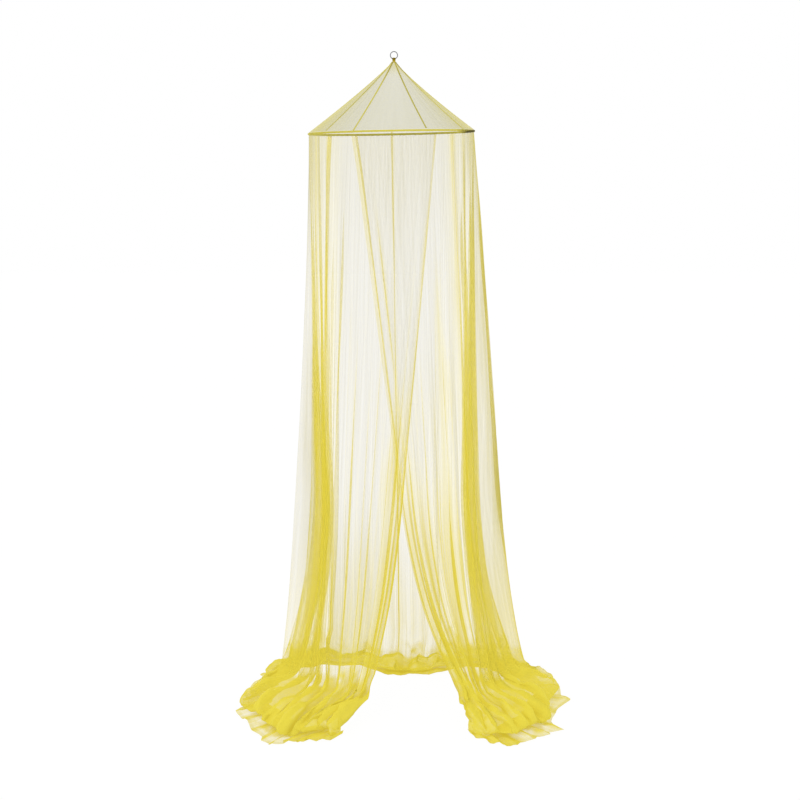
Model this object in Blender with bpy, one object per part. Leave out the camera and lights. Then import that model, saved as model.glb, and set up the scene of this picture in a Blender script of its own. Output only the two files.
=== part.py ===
"""Mosquito net canopy: a round hoop hung from a small steel ring, a cone of four net gores
above it and one long wrap-round skirt of net below it, whose hem lies in heaps on the floor.

Metres, +Z up. The origin is where the ceiling hook bears, at the top inside the steel ring.
-Y is the front, where the skirt's two free edges cross.
"""
import math
from collections import namedtuple

import bmesh
import bpy
import numpy as np

# Driving dimensions
NET = 0.0012                    # thickness of a net solid
GAP = 0.0003                    # between pieces that touch
FLOOR = -2.436                  # the floor under the hook

RING_R, RING_WIRE_R = 0.0130, 0.0015            # steel ring, to the middle of its wire
LOOP_W, LOOP_WAIST_W, LOOP_T = 0.0110, 0.0078, 0.0012
LOOP_PLAY, LOOP_JOIN = 0.0018, 0.0075           # round the ring's wire, and from it to the legs' join
LOOP_STUB_T, LOOP_FOOT = 0.0030, -0.0375        # the two legs sewn together, and their lower end
LOOP_NOTCH_W, LOOP_NOTCH_H = 0.0008, 0.0012     # the eye's narrow foot

HOOP_X, HOOP_Z = -0.0095, -0.286                # the hoop hangs a little off the hook's line
HOOP_R, HOOP_WIRE_R = 0.300, 0.0023
HOOP_TILT = math.radians(1.07)                  # its right side is the higher one
CASING_R, CASING_IN_R = 0.0042, 0.0030          # the sleeve round the hoop's wire
CASING_SLOT = math.radians(18)                  # half of the slot left open underneath
HOOP_STEPS, HOOP_WIRE_SIDES, CASING_SIDES = 56, 6, 6

APEX_X = -0.0005
CONE_TOP_R, CONE_POWER = 0.0060, 1.12           # the cone's side sags in a little
CONE_H = 0.2530                                 # from the casing to where its sides would meet
SEAM_DEGREES = (-27, 60, 154, 235)              # from the front, towards +X
SEAM_HALF = 0.0010                              # from a seam's line to a gore's cut edge
TAPE_W, TAPE_TOP_W, TAPE_T = 0.0070, 0.0048, 0.0010
TAPE_WIDENS = 0.2                               # share of the way down at which it has its full width
TAPE_PLAY = 0.0002                              # on top of GAP, for the gores' flat facets
GORE_ROWS = (0.0, 0.08, 0.20, 0.36, 0.55, 0.76, 1.0)        # shares of the way down the cone
TAPE_ROWS = GORE_ROWS[:-1] + (0.90, 0.985)
GORE_COLUMNS = 9

SKIRT_TOP = 0.0043                              # below the hoop's middle
TOP_FADE = 8                                    # how soon that step dies out down the wall
PLY = 0.0020                                    # each front leaf's step off the hoop's line
LEAF_FROM, LEAF_FULL = 60, 30                   # where that step starts and is whole, in degrees
FULL = HOOP_Z - FLOOR                           # the hoop's height over the floor
MID, LOW = 0.78, 0.15                           # heights over the floor of the fold table's levels
HEM_PULL = 0.020                                # how far the hem draws in between two folds
PULL_MOST = 0.4                                 # and its most, as a share of the way to the toe
HEAP_RIDGE = 0.07                               # a fold's rise and fall in the heap, of its height
HEAP_REACH, HEAP_RISE = 0.05, 0.12              # how uneven the heap lies, of its reach and height
HEAP_FOOT = 0.5                                 # share of the way at which the wall's tucks are gone
LOW_FLARE = 1.6                                 # how fast the wall spreads at its foot
ALONG = 2                                       # columns of the solid for each half fold
SHARP = math.radians(40)

# One row for each fold's crest, from the left leaf's free edge by the left side, the back and
# the right side to the right leaf's free edge. hoop: where it leaves the hoop, in degrees from
# the front. bow: 1 runs straight down, more stays near the hoop's line for longer. mid, low and
# toe: its place in plan at those heights and at the hem. tuck: how deep the valley after it is.
Fold = namedtuple("Fold", "hoop bow mid_x mid_y low_x low_y toe_x toe_y tuck_mid tuck_low")
FOLDS = [
    Fold(32, 1.0, 0.026, -0.286, -0.083, -0.300, -0.222, -0.468, 0.010, 0.016),
    Fold(27, 1.0, 0.004, -0.293, -0.106, -0.309, -0.266, -0.496, 0.012, 0.018),
    Fold(20, 1.0, -0.028, -0.298, -0.130, -0.316, -0.305, -0.476, 0.012, 0.020),
    Fold(4, 1.0, -0.084, -0.302, -0.158, -0.322, -0.350, -0.494, 0.012, 0.024),
    Fold(-16, 1.0, -0.160, -0.297, -0.205, -0.318, -0.390, -0.500, 0.016, 0.030),
    Fold(-34, 0.9, -0.228, -0.270, -0.256, -0.296, -0.438, -0.528, 0.030, 0.040),
    Fold(-46, 0.7, -0.262, -0.232, -0.292, -0.262, -0.480, -0.500, 0.044, 0.050),
    Fold(-55, 1.2, -0.272, -0.192, -0.322, -0.222, -0.515, -0.420, 0.040, 0.050),
    Fold(-64, 1.6, -0.290, -0.152, -0.355, -0.172, -0.548, -0.315, 0.060, 0.070),
    Fold(-75, 1.6, -0.296, -0.098, -0.388, -0.112, -0.605, -0.225, 0.074, 0.060),
    Fold(-86, 1.5, -0.374, -0.036, -0.432, -0.042, -0.580, -0.120, 0.090, 0.085),
    Fold(-96, 1.6, -0.302, 0.030, -0.425, 0.038, -0.575, -0.020, 0.056, 0.060),
    Fold(-106, 1.6, -0.326, 0.090, -0.405, 0.112, -0.545, 0.090, 0.078, 0.080),
    Fold(-117, 1.5, -0.286, 0.148, -0.365, 0.178, -0.530, 0.190, 0.050, 0.055),
    Fold(-130, 1.3, -0.266, 0.200, -0.322, 0.236, -0.470, 0.300, 0.045, 0.050),
    Fold(-146, 1.1, -0.236, 0.244, -0.262, 0.270, -0.350, 0.360, 0.014, 0.030),
    Fold(-163, 1.0, -0.088, 0.300, -0.100, 0.302, -0.150, 0.300, 0.010, 0.026),
    Fold(-180, 1.0, 0.010, 0.318, 0.016, 0.308, -0.010, 0.180, 0.008, 0.022),
    Fold(-197, 1.0, 0.092, 0.318, 0.104, 0.306, 0.075, 0.172, 0.010, 0.022),
    Fold(-213, 1.0, 0.158, 0.302, 0.180, 0.298, 0.165, 0.205, 0.016, 0.028),
    Fold(-229, 1.0, 0.212, 0.268, 0.240, 0.274, 0.340, 0.310, 0.014, 0.026),
    Fold(-242, 1.0, 0.288, 0.204, 0.336, 0.226, 0.430, 0.320, 0.044, 0.050),
    Fold(-253, 1.0, 0.306, 0.152, 0.396, 0.180, 0.520, 0.270, 0.056, 0.075),
    Fold(-264, 1.0, 0.312, 0.096, 0.450, 0.115, 0.565, 0.160, 0.080, 0.060),
    Fold(-274, 1.0, 0.405, 0.018, 0.495, 0.030, 0.650, 0.040, 0.095, 0.095),
    Fold(-284, 1.0, 0.316, -0.060, 0.460, -0.060, 0.668, -0.070, 0.046, 0.060),
    Fold(-294, 1.0, 0.322, -0.128, 0.430, -0.140, 0.600, -0.260, 0.062, 0.080),
    Fold(-304, 1.0, 0.302, -0.186, 0.392, -0.200, 0.612, -0.400, 0.044, 0.055),
    Fold(-313, 1.0, 0.276, -0.236, 0.366, -0.248, 0.560, -0.430, 0.014, 0.030),
    Fold(-327, 0.95, 0.228, -0.298, 0.334, -0.296, 0.512, -0.490, 0.026, 0.038),
    Fold(-344, 0.9, 0.150, -0.348, 0.302, -0.322, 0.445, -0.530, 0.018, 0.028),
    Fold(-366, 0.85, 0.090, -0.364, 0.280, -0.330, 0.385, -0.525, 0.012, 0.022),
    Fold(-380, 0.85, 0.056, -0.360, 0.258, -0.324, 0.330, -0.492, 0.010, 0.016),
    Fold(-387, 0.85, 0.034, -0.350, 0.226, -0.312, 0.285, -0.440, 0.0, 0.0),
]
DROPS = (0.0, 0.14, 0.42, 0.76, 1.10, 1.40, 1.66, 1.86)     # rows of the wall, below the hoop

# The cloth's way from the wall's foot to the hem: it lies out, doubles back under itself and
# goes out again. reach: share of the way to the toe. height: over the floor.
Step = namedtuple("Step", "reach height")
HEAP = [
    Step(0.00, 0.150), Step(0.16, 0.110), Step(0.42, 0.094), Step(0.66, 0.074), Step(0.80, 0.056),
    Step(0.80, 0.041), Step(0.66, 0.033), Step(0.44, 0.031), Step(0.30, 0.027), Step(0.28, 0.017),
    Step(0.40, 0.009), Step(0.68, 0.0020), Step(1.00, NET / 2),
]
COLOURS = {                     # base colour, roughness, metallic
    "net": ((0.72, 0.62, 0.12, 1.0), 0.85, 0.0),
    "tape": ((0.36, 0.30, 0.04, 1.0), 0.80, 0.0),
    "steel": ((0.55, 0.55, 0.55, 1.0), 0.30, 1.0),
}


def material(name):
    made = bpy.data.materials.get(name)
    if made is None:
        made = bpy.data.materials.new(name)
        made.use_nodes = True
        shader = made.node_tree.nodes["Principled BSDF"]
        colour, roughness, metallic = COLOURS[name]
        shader.inputs["Base Color"].default_value = colour
        shader.inputs["Roughness"].default_value = roughness
        shader.inputs["Metallic"].default_value = metallic
        made.diffuse_color = colour
    return made


def add(name, points, faces, finish):
    """An object of these points and faces, with its faces turned outwards."""
    mesh = bpy.data.meshes.new(name)
    mesh.from_pydata([tuple(p) for p in points], [], faces)
    work = bmesh.new()
    work.from_mesh(mesh)
    bmesh.ops.recalc_face_normals(work, faces=work.faces)
    work.to_mesh(mesh)
    work.free()
    mesh.shade_smooth()
    mesh.set_sharp_from_angle(angle=SHARP)
    mesh.materials.append(material(finish))
    made = bpy.data.objects.new(name, mesh)
    bpy.context.collection.objects.link(made)
    return made


def tilted(x, level=1.0):
    """How much higher the tilted hoop is at x. level fades it to nothing towards the floor."""
    return math.tan(HOOP_TILT) * (x - HOOP_X) * level


def around(section, steps, middle_r, middle_x, middle_z):
    """A closed section of (out, up) points carried once round the hoop's circle."""
    points, faces, count = [], [], len(section)
    for step in range(steps):
        angle = 2 * math.pi * step / steps
        for out, up in section:
            x = middle_x + (middle_r + out) * math.sin(angle)
            y = -(middle_r + out) * math.cos(angle)
            points.append((x, y, middle_z + up + tilted(x)))
        start, following = step * count, (step + 1) % steps * count
        for i in range(count):
            j = (i + 1) % count
            faces.append((start + i, start + j, following + j, following + i))
    return points, faces


def directions(grid, axis):
    """The way a grid runs along an axis at each point, halfway between its two neighbours' ways."""
    steps = np.diff(grid, axis=axis)
    steps /= np.linalg.norm(steps, axis=2, keepdims=True)
    first, last = np.take(steps, [0], axis), np.take(steps, [-1], axis)
    return np.concatenate([first, steps], axis) + np.concatenate([steps, last], axis)


def sheet_solid(middle, thickness):
    """The points and faces of a sheet of this thickness whose middle is a grid of points."""
    rows, columns = middle.shape[:2]
    normal = np.cross(directions(middle, 0), directions(middle, 1))
    normal /= np.linalg.norm(normal, axis=2, keepdims=True)
    points = np.concatenate([middle + normal * thickness / 2, middle - normal * thickness / 2])
    points = points.reshape(-1, 3)

    def at(side, row, column):
        return (side * rows + row) * columns + column

    faces = []
    for r in range(rows - 1):
        for c in range(columns - 1):
            faces.append((at(0, r, c), at(0, r + 1, c), at(0, r + 1, c + 1), at(0, r, c + 1)))
            faces.append((at(1, r, c), at(1, r, c + 1), at(1, r + 1, c + 1), at(1, r + 1, c)))
    rim = [(0, c) for c in range(columns)] + [(r, columns - 1) for r in range(1, rows)]
    rim += [(rows - 1, c) for c in range(columns - 2, -1, -1)] + [(r, 0) for r in range(rows - 2, 0, -1)]
    for here, there in zip(rim, rim[1:] + rim[:1]):
        faces.append((at(0, *here), at(0, *there), at(1, *there), at(1, *here)))
    return points, faces


def hanging_ring():
    bpy.ops.mesh.primitive_torus_add(
        location=(0, 0, -(RING_R - RING_WIRE_R)), rotation=(math.pi / 2, 0, 0),
        major_radius=RING_R, minor_radius=RING_WIRE_R, major_segments=28, minor_segments=8)
    ring = bpy.context.object
    ring.name = ring.data.name = "hanging_ring"
    ring.data.shade_smooth()
    ring.data.materials.append(material("steel"))


def prism(name, outline, width_at, finish):
    """An outline of (y, z) points as wide along X as width_at says for each height."""
    points = [(side * width_at(z) / 2, y, z) for side in (-1, 1) for y, z in outline]
    count = len(outline)
    faces = [tuple(range(count)), tuple(range(2 * count - 1, count - 1, -1))]
    faces += [(i, i + count, (i + 1) % count + count, (i + 1) % count) for i in range(count)]
    return add(name, points, faces, finish)


def crown_loop():
    """A tape laid over the ring's wire, its two legs sewn together below into a stub."""
    wire_z = -(2 * RING_R - RING_WIRE_R)
    inner = RING_WIRE_R + LOOP_PLAY
    outer = inner + LOOP_T
    join = wire_z - LOOP_JOIN
    arc = [math.radians(a) for a in range(0, 181, 20)]
    outline = [(outer * math.cos(a), wire_z + outer * math.sin(a)) for a in arc]
    outline += [(-LOOP_STUB_T / 2, join), (-LOOP_STUB_T / 2, LOOP_FOOT)]
    outline += [(LOOP_STUB_T / 2, LOOP_FOOT), (LOOP_STUB_T / 2, join)]
    eye = [(inner * math.cos(a), wire_z + inner * math.sin(a)) for a in arc]
    eye += [(side * LOOP_NOTCH_W / 2, join + LOOP_NOTCH_H) for side in (-1, 1)]

    def width_at(z):
        share = min(1.0, max(0.0, (z - LOOP_FOOT) / (wire_z - LOOP_FOOT)))
        return LOOP_WAIST_W + (LOOP_W - LOOP_WAIST_W) * share

    tape = prism("crown_loop", outline, width_at, "tape")
    cutter = prism("crown_loop_eye", eye, lambda z: 3 * LOOP_W, "tape")
    cutter.hide_render = True
    cutter.display_type = "WIRE"
    cut = tape.modifiers.new("eye", "BOOLEAN")
    cut.operation = "DIFFERENCE"
    cut.solver = "EXACT"
    cut.object = cutter


def hoop_and_casing():
    turns = [2 * math.pi * i / HOOP_WIRE_SIDES for i in range(HOOP_WIRE_SIDES)]
    wire = [(HOOP_WIRE_R * math.cos(a), HOOP_WIRE_R * math.sin(a)) for a in turns]
    add("hoop", *around(wire, HOOP_STEPS, HOOP_R, HOOP_X, HOOP_Z), "steel")
    angles = [-math.pi / 2 + CASING_SLOT + 2 * (math.pi - CASING_SLOT) * i / CASING_SIDES
              for i in range(CASING_SIDES + 1)]
    section = [(CASING_R * math.cos(a), CASING_R * math.sin(a)) for a in angles]
    section += [(CASING_IN_R * math.cos(a), CASING_IN_R * math.sin(a)) for a in reversed(angles)]
    add("hoop_casing", *around(section, HOOP_STEPS, HOOP_R, HOOP_X, HOOP_Z), "tape")


def cone_fall(share):
    """Share 0 at the top of the gores to 1 at the casing, as a share of the whole cone's height."""
    least = (CONE_TOP_R / HOOP_R) ** (1 / CONE_POWER)
    return least + (1 - least) * share


def cone_radius(share):
    return HOOP_R * cone_fall(share) ** CONE_POWER


def cone_point(share, angle, off=0.0, aside=0.0):
    """A point of the cone, off its face and aside along it."""
    fall = cone_fall(share)
    slope = math.atan2(CONE_H, HOOP_R * CONE_POWER * fall ** (CONE_POWER - 1))
    radius = cone_radius(share) + off * math.sin(slope)
    middle_x = APEX_X + (HOOP_X - APEX_X) * share
    x = middle_x + radius * math.sin(angle) + aside * math.cos(angle)
    y = -radius * math.cos(angle) + aside * math.sin(angle)
    foot = HOOP_Z + CASING_R + GAP + NET / 2
    return x, y, foot + CONE_H * (1 - fall) + off * math.cos(slope) + tilted(x, share)


def cone():
    """Four gores between their seams, with a tape over each seam."""
    seams = [math.radians(a) for a in SEAM_DEGREES]
    for number, (left, right) in enumerate(zip(seams, seams[1:] + [seams[0] + 2 * math.pi])):
        grid = np.empty((len(GORE_ROWS), GORE_COLUMNS, 3))
        for row, share in enumerate(GORE_ROWS):
            inset = SEAM_HALF / cone_radius(share)
            for column in range(GORE_COLUMNS):
                angle = left + inset + (right - left - 2 * inset) * column / (GORE_COLUMNS - 1)
                grid[row, column] = cone_point(share, angle)
        add(f"cone_gore_{number + 1}", *sheet_solid(grid, NET), "net")
    lift = NET / 2 + GAP + TAPE_T / 2 + TAPE_PLAY
    for number, angle in enumerate(seams):
        grid = np.empty((len(TAPE_ROWS), 3, 3))
        for row, share in enumerate(TAPE_ROWS):
            half = (TAPE_TOP_W + (TAPE_W - TAPE_TOP_W) * min(1.0, share / TAPE_WIDENS)) / 2
            for column, side in enumerate((-1, 0, 1)):
                grid[row, column] = cone_point(share, angle, lift, side * half)
        add(f"seam_tape_{number + 1}", *sheet_solid(grid, TAPE_T), "tape")


def spline(points, parts):
    """A smooth curve through points along the first axis, with this many parts to a span."""
    padded = np.concatenate([2 * points[:1] - points[1:2], points, 2 * points[-1:] - points[-2:-1]])
    a, b, c, d = padded[:-3], padded[1:-2], padded[2:-1], padded[3:]
    out = []
    for part in range(parts):
        t = part / parts
        out.append(0.5 * (2 * b + (c - a) * t + (2 * a - 5 * b + 4 * c - d) * t ** 2
                          + (3 * b - a - 3 * c + d) * t ** 3))
    curve = np.stack(out, axis=1).reshape(-1, *points.shape[1:])
    return np.concatenate([curve, points[-1:]])


def between(values):
    """Each value with the mean of it and the next one after it."""
    out = np.empty((2 * len(values) - 1, *values.shape[1:]))
    out[0::2] = values
    out[1::2] = (values[:-1] + values[1:]) / 2
    return out


def tucks(crests, depth):
    """How far each point of between(crests) is drawn towards the middle: only the valleys, by depth."""
    middle = (crests[:-1] + crests[1:]) / 2 - (HOOP_X, 0)
    out = np.zeros((2 * len(crests) - 1, 2))
    out[1::2] = -middle / np.linalg.norm(middle, axis=1, keepdims=True) * depth[:, None]
    return out


def polar(plan):
    """Angles from the front and distances from the hoop's middle, of points in plan."""
    x, y = plan[:, 0] - HOOP_X, plan[:, 1]
    return np.unwrap(np.arctan2(x, -y), discont=math.pi), np.hypot(x, y)


def from_polar(angle, radius):
    return np.stack([HOOP_X + radius * np.sin(angle), -radius * np.cos(angle)], axis=1)


def smooth_step(value):
    value = np.clip(value, 0, 1)
    return value * value * (3 - 2 * value)


def uneven(index, turn):
    """A number from -1 to 1 that wanders slowly from fold to fold."""
    return 0.6 * np.sin(0.71 * index + 2.4 * turn) + 0.4 * np.sin(1.63 * index + 4.1 * turn)


def skirt_grid():
    """The middle of the skirt: a row of points for each drop below the hoop and step of the heap."""
    table = {name: np.array([getattr(fold, name) for fold in FOLDS], float) for name in Fold._fields}
    degrees = between(table["hoop"])
    bow = between(table["bow"])
    spread = LEAF_FROM - LEAF_FULL
    ply = PLY * (smooth_step((LEAF_FROM - 360 - degrees) / spread)
                 - smooth_step((LEAF_FROM + degrees) / spread))
    angle = np.radians(degrees)
    mid_crest = np.stack([table["mid_x"], table["mid_y"]], axis=1)
    low_crest = np.stack([table["low_x"], table["low_y"]], axis=1)
    toe_crest = np.stack([table["toe_x"], table["toe_y"]], axis=1)
    mid_angle, mid_radius = polar(between(mid_crest) + tucks(mid_crest, table["tuck_mid"][:-1]))
    low = between(low_crest) + tucks(low_crest, table["tuck_low"][:-1])
    to_mid, to_low = FULL - MID, MID - LOW

    def upper(share):
        """The wall in plan from the hoop, at 0, to the middle level, at 1."""
        turn = share ** bow
        return from_polar(angle + (mid_angle - angle) * turn,
                          HOOP_R + ply + (mid_radius - HOOP_R - ply) * turn)

    mid, little = upper(1.0), 0.05
    mid_slope = (mid - upper(1 - little)) / little * to_low / to_mid
    rows = []
    for drop in DROPS:
        if drop <= to_mid:
            plan = upper(drop / to_mid)
        else:
            share = (drop - to_mid) / to_low
            plan = (mid * (2 * share ** 3 - 3 * share ** 2 + 1)
                    + mid_slope * (share ** 3 - 2 * share ** 2 + share)
                    + low * (3 * share ** 2 - 2 * share ** 3)
                    + (low - mid) * LOW_FLARE * (share ** 3 - share ** 2))
        fade = 1 - drop / FULL
        height = FULL - drop - SKIRT_TOP * fade ** TOP_FADE + tilted(plan[:, 0], fade)
        rows.append(np.column_stack([plan, height]))
    foot, toe = between(low_crest), between(toe_crest)
    tuck = low - foot
    way = toe - foot
    index = np.arange(len(toe))
    valley = index % 2
    pull = valley * np.minimum(PULL_MOST, HEM_PULL / np.linalg.norm(way, axis=1))
    for number, (reach, height) in enumerate(HEAP):
        rise = math.sin(math.pi * number / (len(HEAP) - 1))
        lean = 1 - smooth_step(reach / HEAP_FOOT)
        out = reach * (1 - pull * reach) + HEAP_REACH * rise * uneven(index, 1)
        crest = HEAP_RIDGE * (1 - lean) * (1 - 2 * valley)
        height = height * (1 + crest + HEAP_RISE * rise * uneven(index, 2))
        rows.append(np.column_stack([foot + way * out[:, None] + tuck * lean, height]))
    grid = spline(np.array(rows).transpose(1, 0, 2), ALONG).transpose(1, 0, 2)
    grid[..., 2] = FLOOR + np.maximum(grid[..., 2], NET / 2)
    return grid


def skirt():
    add("skirt", *sheet_solid(skirt_grid(), NET), "net")


def main():
    for old in list(bpy.data.objects):
        bpy.data.objects.remove(old, do_unlink=True)
    hanging_ring()
    crown_loop()
    hoop_and_casing()
    cone()
    skirt()


main()
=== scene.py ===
"""The looks of a mosquito net canopy: a steel ring and a tape loop on top, a cone of four net gores
with taped seams, a cased steel hoop, and one long wrap-round skirt of fine net, whose two free edges
cross in front (-Y) and whose hem lies in heaps on the floor.
"""

import math
from collections import namedtuple
from types import SimpleNamespace

import bpy
import numpy as np
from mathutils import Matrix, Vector


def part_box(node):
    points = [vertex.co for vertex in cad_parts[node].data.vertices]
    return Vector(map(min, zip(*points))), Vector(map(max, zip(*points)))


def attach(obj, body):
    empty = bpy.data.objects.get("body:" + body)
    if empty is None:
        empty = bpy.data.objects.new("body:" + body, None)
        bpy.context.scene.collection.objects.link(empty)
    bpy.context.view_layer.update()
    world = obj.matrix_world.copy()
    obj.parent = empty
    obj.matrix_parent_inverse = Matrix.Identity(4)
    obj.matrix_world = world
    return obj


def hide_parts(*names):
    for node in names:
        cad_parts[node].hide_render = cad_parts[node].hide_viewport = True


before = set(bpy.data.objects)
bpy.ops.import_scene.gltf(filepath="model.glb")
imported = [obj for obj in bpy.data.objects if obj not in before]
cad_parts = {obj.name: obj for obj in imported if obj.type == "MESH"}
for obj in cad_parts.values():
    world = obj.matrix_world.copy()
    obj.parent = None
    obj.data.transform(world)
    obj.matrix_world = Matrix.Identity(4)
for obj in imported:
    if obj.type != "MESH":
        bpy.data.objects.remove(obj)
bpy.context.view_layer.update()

# Sizes, in metres
HOOP_LOW, HOOP_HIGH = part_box("hoop")
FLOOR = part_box("skirt")[0].z
HOOP_WIRE_R = 0.0023
HOOP_X = (HOOP_LOW.x + HOOP_HIGH.x) / 2
HOOP_Z = (HOOP_LOW.z + HOOP_HIGH.z) / 2
HOOP_R = (HOOP_HIGH.x - HOOP_LOW.x) / 2 - HOOP_WIRE_R
HOOP_TILT = math.radians(1.07)                  # its right side is the higher one
CASING_R = 0.0040                               # the sleeve round the hoop's wire
CASING_SLOT = math.radians(18)                  # half of the slot left open underneath

RING_WIRE_R = 0.0015
RING_R = -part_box("hanging_ring")[0].z / 2
LOOP_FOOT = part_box("crown_loop")[0].z
LOOP_W, LOOP_WAIST_W, LOOP_T = 0.0118, 0.0088, 0.0011
LOOP_PLAY, LOOP_JOIN = 0.0018, 0.0075           # round the ring's wire, and from it to the legs' join

APEX_X = -0.0005
CONE_TOP_R, CONE_POWER, CONE_H = 0.0060, 1.12, 0.2530
CONE_FOOT = 0.0051                              # over the hoop's middle
SEAM_DEGREES = (-27, 60, 154, 235)              # from the front, towards +X
TAPE_W, TAPE_TOP_W, TAPE_T = 0.0056, 0.0042, 0.0009
TAPE_LIFT = 0.0016                              # from the gores' middle to the tape's

PLY = 0.0020                                    # each front leaf's step off the hoop's line
RIGHT_PLY, LEFT_PLY, PLY_FADE = 300, -60, 30    # where the leaves begin that step, in degrees
SKIRT_TOP = 0.0043                              # below the hoop's middle
FULL = HOOP_Z - FLOOR                           # the hoop's height over the floor
MID, LOW = 0.78, 0.15                           # heights over the floor of the fold table's levels
HEM_PULL, PULL_MOST = 0.020, 0.4                # how far the hem draws in between two folds
HEM_W, SIDE_HEM_W = 0.012, 0.006                # the double hem's width, and the free edges'
LEAST_HEIGHT = 0.0006                           # over the floor

# One row for each fold's crest, from the left leaf's free edge by the left side, the back and
# the right side to the right leaf's free edge. hoop: where it leaves the hoop, in degrees from
# the front. bow: 1 runs straight down, more stays near the hoop's line for longer. mid, low and
# toe: its place in plan at those heights and at the hem. tuck: how deep the valley after it is.
Fold = namedtuple("Fold", "hoop bow mid_x mid_y low_x low_y toe_x toe_y tuck_mid tuck_low")
FOLDS = [
    Fold(32, 1.0, 0.026, -0.286, -0.083, -0.300, -0.222, -0.468, 0.010, 0.016),
    Fold(27, 1.0, 0.004, -0.293, -0.106, -0.309, -0.266, -0.496, 0.012, 0.018),
    Fold(20, 1.0, -0.028, -0.298, -0.130, -0.316, -0.305, -0.476, 0.012, 0.020),
    Fold(4, 1.0, -0.084, -0.302, -0.158, -0.322, -0.350, -0.494, 0.012, 0.024),
    Fold(-16, 1.0, -0.160, -0.297, -0.205, -0.318, -0.390, -0.500, 0.016, 0.030),
    Fold(-34, 0.9, -0.228, -0.270, -0.256, -0.296, -0.438, -0.528, 0.030, 0.040),
    Fold(-46, 0.7, -0.262, -0.232, -0.292, -0.262, -0.480, -0.500, 0.044, 0.050),
    Fold(-55, 1.2, -0.272, -0.192, -0.322, -0.222, -0.515, -0.420, 0.040, 0.050),
    Fold(-64, 1.6, -0.290, -0.152, -0.355, -0.172, -0.548, -0.315, 0.060, 0.070),
    Fold(-75, 1.6, -0.296, -0.098, -0.388, -0.112, -0.605, -0.225, 0.074, 0.060),
    Fold(-86, 1.5, -0.374, -0.036, -0.432, -0.042, -0.580, -0.120, 0.090, 0.085),
    Fold(-96, 1.6, -0.302, 0.030, -0.425, 0.038, -0.575, -0.020, 0.056, 0.060),
    Fold(-106, 1.6, -0.326, 0.090, -0.405, 0.112, -0.545, 0.090, 0.078, 0.080),
    Fold(-117, 1.5, -0.286, 0.148, -0.365, 0.178, -0.530, 0.190, 0.050, 0.055),
    Fold(-130, 1.3, -0.266, 0.200, -0.322, 0.236, -0.470, 0.300, 0.045, 0.050),
    Fold(-146, 1.1, -0.236, 0.244, -0.262, 0.270, -0.350, 0.360, 0.014, 0.030),
    Fold(-163, 1.0, -0.088, 0.300, -0.100, 0.302, -0.150, 0.300, 0.010, 0.026),
    Fold(-180, 1.0, 0.010, 0.318, 0.016, 0.308, -0.010, 0.180, 0.008, 0.022),
    Fold(-197, 1.0, 0.092, 0.318, 0.104, 0.306, 0.075, 0.172, 0.010, 0.022),
    Fold(-213, 1.0, 0.158, 0.302, 0.180, 0.298, 0.165, 0.205, 0.016, 0.028),
    Fold(-229, 1.0, 0.212, 0.268, 0.240, 0.274, 0.340, 0.310, 0.014, 0.026),
    Fold(-242, 1.0, 0.288, 0.204, 0.336, 0.226, 0.430, 0.320, 0.044, 0.050),
    Fold(-253, 1.0, 0.306, 0.152, 0.396, 0.180, 0.520, 0.270, 0.056, 0.075),
    Fold(-264, 1.0, 0.312, 0.096, 0.450, 0.115, 0.565, 0.160, 0.080, 0.060),
    Fold(-274, 1.0, 0.405, 0.018, 0.495, 0.030, 0.650, 0.040, 0.095, 0.095),
    Fold(-284, 1.0, 0.316, -0.060, 0.460, -0.060, 0.668, -0.070, 0.046, 0.060),
    Fold(-294, 1.0, 0.322, -0.128, 0.430, -0.140, 0.600, -0.260, 0.062, 0.080),
    Fold(-304, 1.0, 0.302, -0.186, 0.392, -0.200, 0.612, -0.400, 0.044, 0.055),
    Fold(-313, 1.0, 0.276, -0.236, 0.366, -0.248, 0.560, -0.430, 0.014, 0.030),
    Fold(-327, 0.95, 0.228, -0.298, 0.334, -0.296, 0.512, -0.490, 0.026, 0.038),
    Fold(-344, 0.9, 0.150, -0.348, 0.302, -0.322, 0.445, -0.530, 0.018, 0.028),
    Fold(-366, 0.85, 0.090, -0.364, 0.280, -0.330, 0.385, -0.525, 0.012, 0.022),
    Fold(-380, 0.85, 0.056, -0.360, 0.258, -0.324, 0.330, -0.492, 0.010, 0.016),
    Fold(-387, 0.85, 0.034, -0.350, 0.226, -0.312, 0.285, -0.440, 0.0, 0.0),
]
DROPS = (0.0, 0.14, 0.42, 0.76, 1.10, 1.40, 1.66, 1.86)     # levels of the wall, below the hoop
WALL_ROWS = 6                                   # rows of the mesh to each of those levels

# The cloth's way from the wall's foot to the hem. reach: share of the way to the toe. height: over
# the floor. ridge: how much higher a fold's crest lies. room: how far a crumple may move the cloth.
# rows: of the mesh, to the next step.
Step = namedtuple("Step", "reach height ridge room rows")
HEAP = [
    Step(0.00, 0.150, 0.004, 0.006, 5), Step(0.16, 0.110, 0.012, 0.012, 5),
    Step(0.42, 0.090, 0.017, 0.020, 6), Step(0.66, 0.068, 0.017, 0.020, 5),
    Step(0.80, 0.052, 0.013, 0.012, 3), Step(0.82, 0.038, 0.005, 0.006, 3),
    Step(0.68, 0.030, 0.003, 0.004, 4), Step(0.50, 0.027, 0.003, 0.004, 3),
    Step(0.40, 0.023, 0.003, 0.003, 3), Step(0.38, 0.016, 0.003, 0.003, 3),
    Step(0.48, 0.010, 0.004, 0.003, 4), Step(0.72, 0.010, 0.010, 0.006, 10),
    Step(1.00, 0.0010, 0.014, 0.006, 0),
]
BACK, BACK_LOW = 212, 0.4                       # the back's middle, in degrees from the left edge, lies lower
RETURN = slice(5, 11)                           # the steps that double back under the first ones
RAGGED = 0.05                                   # how uneven the hem's petals are, of the way to the toe
EDGE_RETURN, EDGE_FOLDS = 0.78, (2, 5)          # how far out the returning steps lie by the free edges
BACK_HALF, BACK_FADE = 78, 20                   # how far the low back reaches, and fades over
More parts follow.
